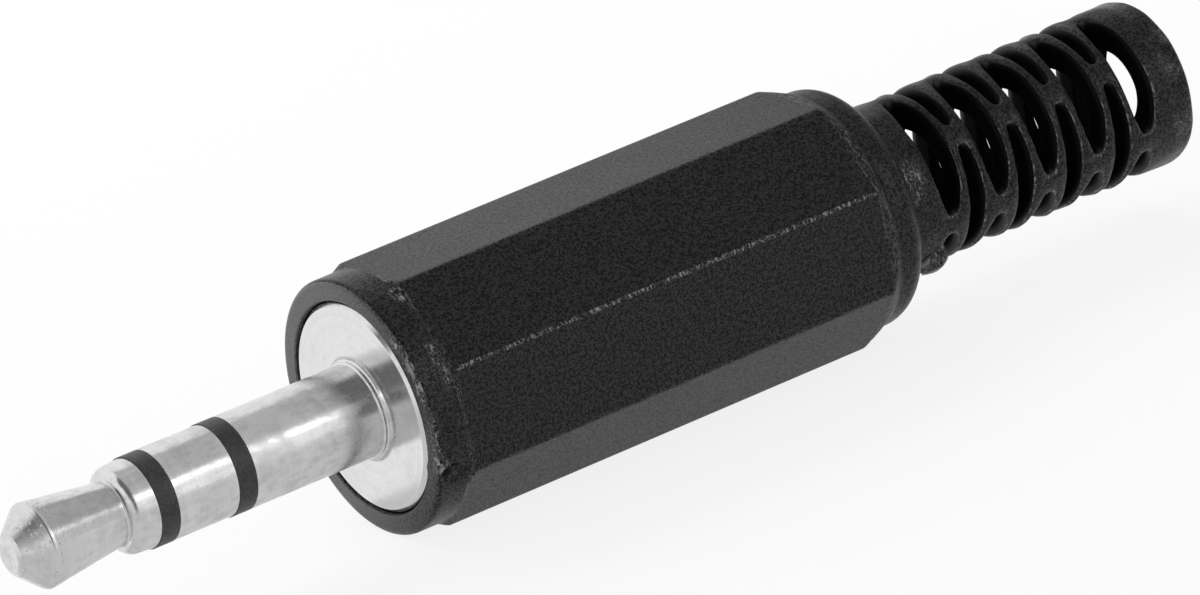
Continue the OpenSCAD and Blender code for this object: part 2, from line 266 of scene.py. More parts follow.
def grainedPlastic(name, look):
    s = Shader(name)
    point = s.objectPoint()
    x, y, z = splitVector(point)
    grain = s.noise(point, look["grain"], 2.0, 0.55)
    coarse = s.noise(point, look["grain"] * 2.2)
    pore = (grain * 0.62 + coarse * 0.38).between(0.44, 0.56)
    patch = s.noise(point, look["patch"], 3.0, 0.6)
    crumb = s.noise(point, look["crumb"], 3.0, 0.65).between(0.5, 0.62)
    edge = s.mark("edge")
    paintedSheenSide = y.between(look["paintedSheenFrom"] * mm, look["paintedSheenSure"] * mm)
    rim = x.maths("LESS_THAN", 0.05 * mm) * (paintedSheenSide * 0.75 + 0.25)  # smooth; a painted sheen, lighter and glossier towards the far side
    scratch = s.noise(s.vector(x, y * 0.25, z * 0.25), look["scratch"])  # lines that run round the plug
    rubbedAndGlinting = (crumb * 0.7).maths("MAXIMUM", scratch.between(0.57, 0.62))
    # scratches and crumbs of wear on rubbed corners, scuffs and slot edges, partly painted glints; marks over
    # 1, at the nick, the scuff middles and the flash lump, are painted highlights
    rubAndGlint = (edge.between(0.2, 0.9) * rubbedAndGlinting + edge.between(1.05, 1.25)).clamped()
    # painted glints along the slot edges of the strain relief, broken into crumbs
    wornAndGlinting = edge.between(0.4, 1.0) * x.maths("GREATER_THAN", look["reliefFrom"] * mm) * (crumb * 0.3 + 0.12)
    endRing = x.between(look["dustFrom"] * mm, look["dustSure"] * mm)
    dust = endRing * patch.between(0.36, 0.6) * (0.2 + crumb * 0.4)
    # the dust on the end ring is real; the pale marks beside it are painted glints and sheen
    dustAndSheen = wornAndGlinting.maths("MAXIMUM", dust).maths("MAXIMUM", rim * (0.08 + grain * 0.2 + patch * 0.14))
    body = s.blend(pore, grey(look["tone"] * 0.2), grey(look["tone"] * 1.8))
    s.set(Base_Color=s.blend((rubAndGlint * 0.75).maths("MAXIMUM", dustAndSheen), body, grey(look["rubbedAndGlintTone"])),
          Roughness=(look["rough"] + patch * 0.08 - rubAndGlint * 0.2 + grain * 0.06).clamped(),
          Normal=s.bump(grain * 0.7 + coarse * 0.5, look["grainDepth"], 0.9,
                        s.bump(crumb * edge, look["crumbDepth"], 0.7)))
    grazing = s.node("ShaderNodeFresnel", {}, {"IOR": 1.5}) * look["grazing"]
    outsidePores = pore * (1 - look["darkest"]) + look["darkest"]
    # the painted glints and the painted sheen of the front face also show more of the lit surface
    return s.shade((outsidePores + rubAndGlint * 0.6 + rim * (0.15 + grain * 0.5) + grazing).clamped())


# The same plastic inside the slots and the bore, a little rougher, with painted shade: it is mixed towards
# black deeper in, where no light reaches
hollowLook = {
    "tone": 0.004, "rough": 0.4, "grain": 0.12, "grainDepth": 0.01,
    "darkBelow": 2.7, "lightAbove": 3.16, "least": 0.05, "gain": 0.85,
}


def hollowPlastic(name, look):
    s = Shader(name)
    point = s.objectPoint()
    y, z = splitVector(point)[1:]
    grain = s.noise(point, look["grain"], 2.0, 0.55)
    s.set(Base_Color=s.blend(grain.between(0.35, 0.65), grey(look["tone"] * 0.6), grey(look["tone"] * 1.5)),
          Roughness=look["rough"] + grain * 0.1,
          Normal=s.bump(grain, look["grainDepth"], 0.6))
    # painted shade: below this radius the walls are mixed towards black
    height = distance(y, z).between(look["darkBelow"] * mm, look["lightAbove"] * mm)
    return s.shade(height * look["gain"] + look["least"])


# Dark insulating bands: smoother than the handle, turned flush with the metal
bandLook = {"tone": 0.03, "rough": 0.4, "marks": 0.06, "cloud": 0.5, "speck": 0.07, "depth": 0.005}


def turnedPlastic(name, look):
    s = Shader(name)
    point = s.objectPoint()
    x, y, z = splitVector(point)
    fine = s.noise(s.vector(x, distance(y, z)), look["marks"], 3.0, 0.6, "2D")
    cloud = s.noise(point, look["cloud"], 3.0, 0.6)
    speck = s.noise(point, look["speck"], 3.0, 0.6).between(0.5, 0.66)  # metal dust, smeared in by the tool
    dusty = (cloud.between(0.4, 0.7) * 0.4 + speck).clamped()
    s.set(Base_Color=s.blend(dusty, grey(look["tone"] * 0.6), grey(look["tone"] * 1.9)),
          Roughness=look["rough"] + cloud * 0.12,
          Normal=s.bump(fine * 0.5 + speck * 0.5, look["depth"], 0.6))
    return s.material


# Tinned sheet: flowed solder leaves soft clouds and a few dull patches
tagLook = {"tone": 0.62, "rough": 0.3, "cloud": 0.7, "fine": 0.07, "depth": 0.01}


def tinnedSheet(name, look):
    s = Shader(name)
    point = s.objectPoint()
    cloud = s.noise(point, look["cloud"], 4.0, 0.6)
    fine = s.noise(point, look["fine"], 2.0, 0.6)
    dull = cloud.between(0.45, 0.65)
    s.set(Base_Color=s.blend(dull, grey(look["tone"]), grey(look["tone"] * 0.78)),
          Metallic=1.0,
          Roughness=look["rough"] + dull * 0.2,
          Normal=s.bump(cloud * 0.7 + fine * 0.3, look["depth"], 0.5))
    return s.material


# Punched insulating board
boardLook = {"tone": (0.56, 0.5, 0.4), "rough": 0.62, "fibre": 0.12, "depth": 0.012}


def punchedBoard(name, look):
    s = Shader(name)
    fibre = s.noise(s.objectPoint(), look["fibre"], 4.0, 0.7)
    dark, light = ((*(c * share for c in look["tone"]), 1) for share in (0.8, 1))
    s.set(Base_Color=s.blend(fibre.between(0.35, 0.7), dark, light),
          Roughness=look["rough"] + fibre * 0.15,
          Normal=s.bump(fibre, look["depth"], 0.6))
    return s.material


finishes = {
    "contact": turnedMetal("platedContact", platedLook),
    "sleeve": turnedMetal("platedSleeve", sleeveLook),
    "plastic": grainedPlastic("grainedPlastic", plasticLook),
    "hollow": hollowPlastic("hollowPlastic", hollowLook),
    "band": turnedPlastic("insulatingBand", bandLook),
    "tag": tinnedSheet("tinnedTag", tagLook),
    "board": punchedBoard("punchedBoard", boardLook),
}
print("finishes made")


# Turned pieces: a closed outline of (x, radius, rounding) corners, revolved about X
hiddenEdge = 0.01
bandEdge = 0.012
contactEdge = 0.014
easedEdge = 0.02
flangeEdge = 0.03
rolledEdge = 0.05


def roundCorner(before, here, after, rounding, steps=4):
    one, two = (before - here).normalized(), (after - here).normalized()
    angle = one.angle(two)
    if angle > math.radians(176):  # too flat to be rounded
        return [here]
    room = min((before - here).length, (after - here).length) * 0.45
    reach = min(rounding / math.tan(angle / 2), room)
    radius = reach * math.tan(angle / 2)
    centre = here + (one + two).normalized() * (radius / math.sin(angle / 2))
    start, end = here + one * reach - centre, here + two * reach - centre
    shares = [k / steps for k in range(steps + 1)]
    arc = [centre + (start * (1 - share) + end * share).normalized() * radius for share in shares]
    guard = reach * 1.6  # a point on both sides of the arc keeps the lines there flat when shaded
    return [here + one * guard, *arc, here + two * guard]


def roundedOutline(corners):
    closest = 0.002
    made = []
    for i, (x, r, rounding) in enumerate(corners):
        here = Vector((x, r))
        if rounding <= 0:
            made.append(here)
            continue
        before, after = Vector(corners[i - 1][:2]), Vector(corners[(i + 1) % len(corners)][:2])
        made += roundCorner(before, here, after, rounding)
    clean = [made[0]]
    for p in made[1:]:
        if (p - clean[-1]).length > closest:
            clean.append(p)
    if (clean[0] - clean[-1]).length < closest:
        clean.pop()
    return clean


def joinRings(work, rings):
    # each ring of points is joined to the next, and the last to the first; a ring of one point is a pole
    around = max(len(ring) for ring in rings)
    for i, ring in enumerate(rings):
        other = rings[(i + 1) % len(rings)]
        if len(ring) == 1 and len(other) == 1:
            continue
        for k in range(around):
            j = (k + 1) % around
            if len(ring) == 1:
                work.faces.new((ring[0], other[k], other[j]))
            elif len(other) == 1:
                work.faces.new((ring[k], other[0], ring[j]))
            else:
                work.faces.new((ring[k], other[k], other[j], ring[j]))
    bmesh.ops.recalc_face_normals(work, faces=work.faces)


def ringPoint(x, r, angle):
    return (x * mm, r * math.cos(angle) * mm, r * math.sin(angle) * mm)


def meshFrom(work, name, sharpFrom):
    mesh = bpy.data.meshes.new(name)
    work.to_mesh(mesh)
    work.free()
    mesh.shade_smooth()
    mesh.set_sharp_from_angle(angle=math.radians(sharpFrom))
    return mesh


def revolve(name, outline, around=128, shape=None):
    work = bmesh.new()
    rings = []
    for p in outline:
        if p.y < 1e-5:  # on the axis
            rings.append([work.verts.new((p.x * mm, 0, 0))])
            continue
        ring = []
        for k in range(around):
            angle = 2 * math.pi * k / around
            r = shape(p.x, p.y, angle) if shape else p.y
            ring.append(work.verts.new(ringPoint(p.x, r, angle)))
        rings.append(ring)
    joinRings(work, rings)
    return addObject(name, meshFrom(work, name, sharpFrom=38))


def finish(piece, body, slot, look, *replaced):
    if not piece.data.materials:
        piece.data.materials.append(finishes[look])
    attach(piece, body)
    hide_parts(*replaced)


def ramp(value, length):
    return min(max(value / length, 0), 1)


def threadWave(x, angle, pitch):
    # 0 at the root and 1 at the crest of a cut thread, with flats between the flanks
    turn = (x / pitch - angle / (2 * math.pi)) % 1
    return ramp(abs(turn - 0.5) * 4 - 0.5, 1)


# Nose: tip contact, ring contact and their two insulating tubes with the bands
noseSizes = {
    "point": -14.9, "dimple": 0.06, "dimpleEdge": 0.11, "blunt": 0.6, "bevelLength": 0.1, "bevelWidth": 0.2,
    "cone": 1.05, "head": 1.6, "headEdge": 0.05, "headLand": 0.1, "neck": 1.2,
    "collar": 1.68, "collarFront": 1.64, "collarLength": 1.05,
    "frontBand": -9.6, "ring": -8.85, "rearBand": -6.35, "sleeve": -5.6, "barrel": 1.75, "ringRadius": 1.72,
    "rod": 0.5, "tipTube": (0.52, 0.79), "ringTube": (0.81, 1.09), "sleeveTube": (1.11, 1.38),
    "tubeEnd": 6.9, "ringTagEnd": 7.8, "ringEnd": 8.05, "tipTagEnd": 8.95, "rodEnd": 9.2,
    "spread": 0.3,  # how far the rolled and peened ends stand out over the tags
}


def tipOutline(n):
    point, head, neck = n["point"], n["head"], n["neck"]
    headX = point + n["cone"]
    neckX = n["frontBand"] - n["collarLength"]
    shoulder = n["collarFront"] - neck
    corners = [(point + n["dimple"], 0, 0), (point + n["dimple"] * 0.2, 0.07, 0),
               (point, n["dimpleEdge"], easedEdge), (point + 0.005, n["blunt"], easedEdge),
               (point + n["bevelLength"], n["blunt"] + n["bevelWidth"], 0.1),
               (headX - n["headEdge"], head - 0.03, 0.03), (headX, head, easedEdge),
               (headX + n["headLand"], head, 0.07), (neckX, neck, 0.16)]
    for a in (math.radians(degrees) for degrees in range(18, 91, 9)):
        corners.append((neckX + shoulder * (1 - math.cos(a)), neck + shoulder * math.sin(a), 0))
    peened = n["rod"] + n["spread"]
    corners += [(n["frontBand"], n["collar"], bandEdge), (n["frontBand"], n["rod"], hiddenEdge),
                (n["tipTagEnd"], n["rod"], easedEdge), (n["tipTagEnd"], peened, rolledEdge),
                (n["rodEnd"] - 0.02, n["rod"] + n["spread"] * 0.6, rolledEdge), (n["rodEnd"], 0, 0)]
    return roundedOutline(corners)


def ringOutline(n):
    low, high = n["ringTube"]
    rolled = high + n["spread"]
    return roundedOutline([(n["ring"], low, hiddenEdge), (n["ring"], n["ringRadius"], contactEdge),
                           (n["rearBand"], n["ringRadius"], contactEdge), (n["rearBand"], high, hiddenEdge),
                           (n["ringTagEnd"], high, hiddenEdge), (n["ringTagEnd"], rolled, rolledEdge),
                           (n["ringEnd"], rolled - 0.12, rolledEdge), (n["ringEnd"], low, easedEdge)])


def bandOutline(front, rear, outside, tube, end):
    low, high = tube
    return roundedOutline([(front, low, hiddenEdge), (front, outside, bandEdge), (rear, outside, bandEdge),
                           (rear, high, hiddenEdge), (end, high, easedEdge), (end, low, easedEdge)])


def buildNose(n):
    finish(revolve("tipContact", tipOutline(n)), "plug", "plated_contact", "contact", "tip_pin")
    outline = bandOutline(n["frontBand"], n["ring"], n["ringRadius"], n["tipTube"], n["tubeEnd"])
    finish(revolve("tipTube", outline), "plug", "insulator", "band", "tip_insulator")
    finish(revolve("ringContact", ringOutline(n)), "plug", "plated_contact", "contact", "ring_contact")
    outline = bandOutline(n["rearBand"], n["sleeve"], n["barrel"], n["sleeveTube"], n["tubeEnd"])
    finish(revolve("ringTube", outline), "plug", "insulator", "band", "ring_insulator")


buildNose(noseSizes)
print("nose made")


# Sleeve with its flange disc, cut thread and spigot
sleeveSizes = {
    "front": -5.6, "barrel": 1.75, "bead": 1.89, "beadLength": 0.26,
    # two ridges at the root: place from the start of the bead, and height over the barrel
    "ridges": ((0.01, 0.04), (0.03, 0.07), (0.055, 0.085), (0.08, 0.07), (0.095, 0.04), (0.105, -0.01),
               (0.12, 0.04), (0.14, 0.1), (0.17, 0.135), (0.21, 0.14)),
    # groove that the tool left in the disc: depth, and distance outside the bead
    "groove": ((0.03, 0.01), (0.05, 0.03), (0.03, 0.06), (0, 0.08)),
    "flange": 3.93, "flangeDepth": 1.0, "chamfer": 0.14,
    "undercut": 3.0, "undercutEnd": 1.5, "thread": 3.4, "root": 3.05, "threadFrom": 1.66, "runOut": 0.3,
    "pitch": 0.75, "ringsPerTurn": 14, "neckEnd": 6.2,
    "spigot": 1.9, "rim": 2.2, "tagEnd": 6.6, "end": 6.9, "bore": 1.4,
}


def sleeveOutline(n):
    beadX = -n["beadLength"]
    corners = [(n["front"], n["bore"], hiddenEdge), (n["front"], n["barrel"], contactEdge),
               (beadX, n["barrel"], 0)]
    corners += [(beadX + x, n["barrel"] + height, 0) for x, height in n["ridges"]]
    corners += [(depth, n["bead"] + away, 0) for depth, away in n["groove"]]
    corners += [(0, n["flange"] - n["chamfer"], easedEdge), (n["chamfer"], n["flange"], easedEdge),
                (n["flangeDepth"], n["flange"], flangeEdge), (n["flangeDepth"], n["undercut"], flangeEdge)]
    outline = roundedOutline(corners)[:-1]
    outline += [Vector((n["flangeDepth"] + flangeEdge, n["undercut"])),
                Vector((n["undercutEnd"], n["undercut"])),
                Vector((n["threadFrom"] - 0.04, n["undercut"] + 0.03))]
    length = n["neckEnd"] - 0.02 - n["threadFrom"]
    steps = int(length / (n["pitch"] / n["ringsPerTurn"]))
    outline += [Vector((n["threadFrom"] + length * k / steps, n["thread"])) for k in range(steps + 1)]
    spigot = [(n["neckEnd"], n["undercut"] + 0.02, 0), (n["neckEnd"], n["spigot"], easedEdge),
              (n["tagEnd"], n["spigot"], easedEdge), (n["tagEnd"], n["rim"], rolledEdge),
              (n["end"], n["rim"] - 0.15, rolledEdge), (n["end"], n["bore"], easedEdge)]
    return outline + roundedOutline(spigot)[:-1] + [Vector((n["end"], n["bore"]))]


def buildSleeve(n):
    def cutThread(x, r, angle):
        if abs(r - n["thread"]) > 1e-4:
            return r
        ends = min(ramp(n["neckEnd"] - x, n["runOut"]), ramp(x - n["threadFrom"] + 0.04, n["runOut"]))
        return n["root"] + (n["thread"] - n["root"]) * min(threadWave(x, angle, n["pitch"]), ends)

    sleeve = revolve("sleeveContact", sleeveOutline(n), 144, cutThread)
    finish(sleeve, "plug", "plated_sleeve", "sleeve", "sleeve_body")


buildSleeve(sleeveSizes)
print("sleeve made")


# Handle: an octagon with faired ends, lofted ring by ring, with the cut thread and the chamber inside
handleSizes = {
    "corner": 5.03, "cornerFillet": 0.28, "collar": 4.8, "collarLength": 1.25, "rim": 0.2,
    "length": 19.85, "chamferEnd": 20.5, "rearCollar": 4.55, "rearCollarEnd": 20.95, "backRound": 0.9,
    "frontBlend": 0.06, "rearBlend": 0.1, "collarBlend": 0.04,  # small fillets where the ends run out
    # places of the rings at both ends of the octagon, closer where its corners run out
    "frontRings": (0.3, 0.5, 0.7, 0.9, 1.1, 1.2, 1.24, 1.27, 1.3, 1.33, 1.36, 1.39, 1.42, 1.45, 1.48, 1.51,
                   1.56, 1.66, 1.8, 1.98),
    "rearRings": (19.65, 19.74, 19.79, 19.83, 19.86, 19.9, 19.98, 20.08, 20.18, 20.28, 20.36, 20.42, 20.47,
                  20.52, 20.57),
    "recess": 3.985, "recessDepth": 1.0, "threadHole": 3.45, "threadDepth": 0.3, "threadEnd": 6.6,
    "pitch": 0.75, "ringsPerTurn": 12, "chamber": 3.2, "chamberEnd": 19.68, "bore": 2.1, "boreFrom": 20.78,
    # wear and painted glints of the octagon's corners, then of both ends, with the places along the plug
    "rubbedAndGlintCorner": 3, "rubbedAndGlinting": 1.0, "otherCorners": 0.28, "wearAndGlintFrom": 1.5, "wearAndGlintTo": 19.9,
    "collarsWornAndGlinting": ((1.2, 1.5), (19.8, 20.4)), "collarWearAndGlint": 0.45, "backWearAndGlint": 0.4,
}
handleFlaws = {
    "nickAngle": 198, "nickX": 0.12, "nickDepth": 0.5, "nickSize": (0.42, 2.6), "nickShift": (0.45, 3),
    "nickLip": 0.1, "lipWidth": 0.25,
    # place along the plug, angle round it, length and width in degrees of each scuff with its painted glint
    "scuffsAndGlints": ((1.0, 148, 0.28, 8), (1.1, 160, 0.2, 7), (1.15, 116, 0.3, 6), (0.0, 150, 0.12, 26),
               (0.05, 184, 0.12, 16)),
}


def softLess(a, b, blend):
    # the smaller of two sizes, with a soft change from one to the other
    h = max(blend - abs(a - b), 0) / blend
    return min(a, b) - h * h * blend / 4


def octagon(n):
    # distance of a flat from the axis, and half the length of its straight part
    apothem = n["corner"] * math.cos(math.pi / 8)
    return apothem, (apothem - n["cornerFillet"]) * math.tan(math.pi / 8)


def octagonAngles(n):
    # places along each flat, then across its corner, all round, each with its wear and painted glint
    apothem, flatEnd = octagon(n)
    spots = []
    for side in range(8):
        middle = side * math.pi / 4
        for t in (-1, -0.93, -0.76, -0.57, -0.38, -0.19, 0, 0.19, 0.38, 0.57, 0.76, 0.93, 1):
            spots.append((middle + math.atan2(t * flatEnd, apothem), 0.0))
        wearAndGlint = n["rubbedAndGlinting"] if side == n["rubbedAndGlintCorner"] else n["otherCorners"]
        for lean in (math.pi / 16, math.pi / 8, math.pi * 3 / 16):
            x = apothem - n["cornerFillet"] + n["cornerFillet"] * math.cos(lean)
            y = flatEnd + n["cornerFillet"] * math.sin(lean)
            spots.append((middle + math.atan2(y, x), wearAndGlint))
    return spots


def octagonRadius(n, angle):
    apothem, flatEnd = octagon(n)
    turned = (angle + math.pi / 8) % (math.pi / 4) - math.pi / 8
    plain = apothem / math.cos(turned)
    if plain * abs(math.sin(turned)) <= flatEnd:
        return plain
    cx, cy = apothem - n["cornerFillet"], flatEnd
    dot = cx * math.cos(turned) + cy * abs(math.sin(turned))
    return dot + math.sqrt(max(dot * dot - (cx * cx + cy * cy - n["cornerFillet"] ** 2), 0))


def fairedRadius(n, x, angle):
    # the octagon runs out into the round collars at both ends
    front = n["collar"] + max(x - n["collarLength"], -0.2)
    slope = (n["corner"] - n["rearCollar"]) / (n["chamferEnd"] - n["length"])
    rear = n["corner"] - (x - n["length"]) * slope
    body = softLess(softLess(octagonRadius(n, angle), front, n["frontBlend"]), rear, n["rearBlend"])
    fair = n["collar"] - max(x - n["collarLength"], 0)
    joined = -softLess(-body, -fair, n["frontBlend"])  # the larger of the two
    if x < n["collarLength"] - n["frontBlend"]:
        joined = n["collar"]
    return -softLess(-joined, -n["rearCollar"], n["collarBlend"]) if x > 20 else joined


def outerRings(n, boot):
    # each ring is its place, its kind, and its radius where it is round
    rim, edge = n["rim"], n["collar"] - n["rim"]
    rings = [(0.0, "round", n["recess"] + 0.1), (0.0, "round", edge - 0.1)]
    for a in (math.radians(degrees) for degrees in range(0, 91, 18)):
        rings.append((rim * (1 - math.cos(a)), "round", edge + rim * math.sin(a)))
    middle = [2.2 + k * 0.8 for k in range(22)]
    rings += [(x, "faired", 0) for x in (*n["frontRings"], *middle, *n["rearRings"])]
    rings += [(x, "round", n["rearCollar"]) for x in (20.65, 20.85)]
    for a in (math.pi / 2 * k / 12 for k in range(13)):
        rings.append((n["rearCollarEnd"] + n["backRound"] * math.sin(a), "round",
                      n["rearCollar"] - n["backRound"] * (1 - math.cos(a))))
    backX, bootR = n["rearCollarEnd"] + n["backRound"], boot["Outer radius"]
    hollowCorner = ((0, 0.25), (0.01, 0.13), (0.05, 0.05), (0.12, 0.012), (0.2, -0.02))
    rings += [(backX + x, "round", bootR + r) for x, r in hollowCorner]
    return rings + [(backX + 0.1, "round", 2.7)]  # ends inside the wall of the strain relief


def innerRings(n):
    rings = [(x, "round", n["bore"]) for x in (21.5, 21.1, n["boreFrom"] + 0.03)]
    rings += [(n["chamberEnd"], "round", n["chamber"]), (n["chamberEnd"] - 0.05, "round", n["chamber"])]
    rings += [(x, "round", n["chamber"]) for x in (16.0, 12.0, 8.0, n["threadEnd"] + 0.03)]
    rings += [(n["threadEnd"], "round", n["threadHole"] + 0.02)]
    last, first = n["threadEnd"] - 0.1, n["recessDepth"] + 0.02
    turns = int((last - first) / (n["pitch"] / n["ringsPerTurn"]))
    rings += [(last - (last - first) * k / turns, "thread", 0) for k in range(turns + 1)]
    rings += [(n["recessDepth"], "round", r) for r in (n["threadHole"] + 0.04, n["recess"] - 0.03)]
    return rings + [(x, "round", n["recess"]) for x in (n["recessDepth"] - 0.03, 0.5, 0.12)]


def radiusAndMark(n, x, kind, radius, angle, wearAndGlint):
    # the mark says how rubbed the surface is at this point and how much painted glint it gets
    if kind == "faired":
        atEnds = n["collarWearAndGlint"] * any(low < x < high for low, high in n["collarsWornAndGlinting"])
        return fairedRadius(n, x, angle), wearAndGlint if n["wearAndGlintFrom"] < x < n["wearAndGlintTo"] else atEnds
    if kind == "thread":
        ends = min(ramp(n["threadEnd"] - x, 0.4), ramp(x - 0.9, 0.3))
        cut = n["threadDepth"] * (1 - threadWave(x, angle, n["pitch"])) * ends
        return n["threadHole"] + 0.02 - cut, 0.0
    return radius, n["backWearAndGlint"] * max(1 - abs(x - n["rearCollarEnd"] - 0.45) / 0.5, 0)


def flawed(n, flaws, x, r, angle, mark):
    # the broken nick in the rim with a painted glint at its edge, and the scuffs with their painted glints
    nickTurn = math.radians(flaws["nickAngle"])
    nick = Vector((flaws["nickX"], n["collar"] * math.cos(nickTurn), n["collar"] * math.sin(nickTurn)))
    near = (Vector((x, r * math.cos(angle), r * math.sin(angle))) - nick).length

    def turnFrom(other):
        return (math.degrees(angle) - other + 180) % 360 - 180

    if r > 4:
        long, wide = flaws["nickSize"]
        shiftX, shiftAngle = flaws["nickShift"]
        pitX, pitAngle = flaws["nickX"] + shiftX, flaws["nickAngle"] + shiftAngle
        pit = math.hypot((x - pitX) / long, turnFrom(pitAngle) / wide)
        lip = flaws["nickLip"] * math.exp(-(near / flaws["lipWidth"]) ** 2)
        r += lip - flaws["nickDepth"] * math.exp(-pit * pit)
    for scuffAndGlintX, scuffAndGlintAngle, long, wide in flaws["scuffsAndGlints"]:
        scuffAndGlint = 1.3 - math.hypot((x - scuffAndGlintX) / long, turnFrom(scuffAndGlintAngle) / wide)
        mark = max(mark, scuffAndGlint if r > 4.2 else 0)
    return r, max(mark, 1.6 - near / 0.4)


def buildHandle(n, flaws, boot):
    work = bmesh.new()
    edge = work.verts.layers.float.new("edge")
    spots = octagonAngles(n)
    rings = []
    for x, kind, radius in outerRings(n, boot) + innerRings(n):
        ring = []
        for angle, wearAndGlint in spots:
            r, mark = radiusAndMark(n, x, kind, radius, angle, wearAndGlint)
            r, mark = flawed(n, flaws, x, r, angle, mark)
            ring.append(work.verts.new(ringPoint(x, r, angle)))
            ring[-1][edge] = mark
        rings.append(ring)
    joinRings(work, rings)
    return meshFrom(work, "handleBody", sharpFrom=42)


# Strain relief: rows of slots by Geometry Nodes, from a grid that is bent round the axis
bootSizes = {
    "Outer radius": 3.17, "Wall": 1.1, "Start": 21.6, "First slot": 23.966, "Pitch": 1.1125, "End": 35.04,
    "Slot width": 1.12, "Turned slot width": 0.68, "Slot end width": 0.38, "Slot half angle": 52.0,
    "Last slot wider": 0.05, "Turn": 21.5, "Edge": 0.13, "Edge drop": 0.09, "Ripple": 0.14,
}
bootCounts = {"Rows": 9, "Columns": 72}
rootPatch = {"x": 22.5, "angle": 160, "long": 0.55, "wide": 15, "height": 0.02}  # rubbed smooth, with a painted sheen
flashLump = {"x": 23.45, "radius": 3.08, "angle": 234, "size": (0.66, 0.42, 0.8), "lumpy": 0.35, "lumps": 1.7}
reliefGlintBySide = {"from": 125, "over": 45, "until": 260, "least": 0.3}  # painted glints on the slot edges: the side turned to the light shines


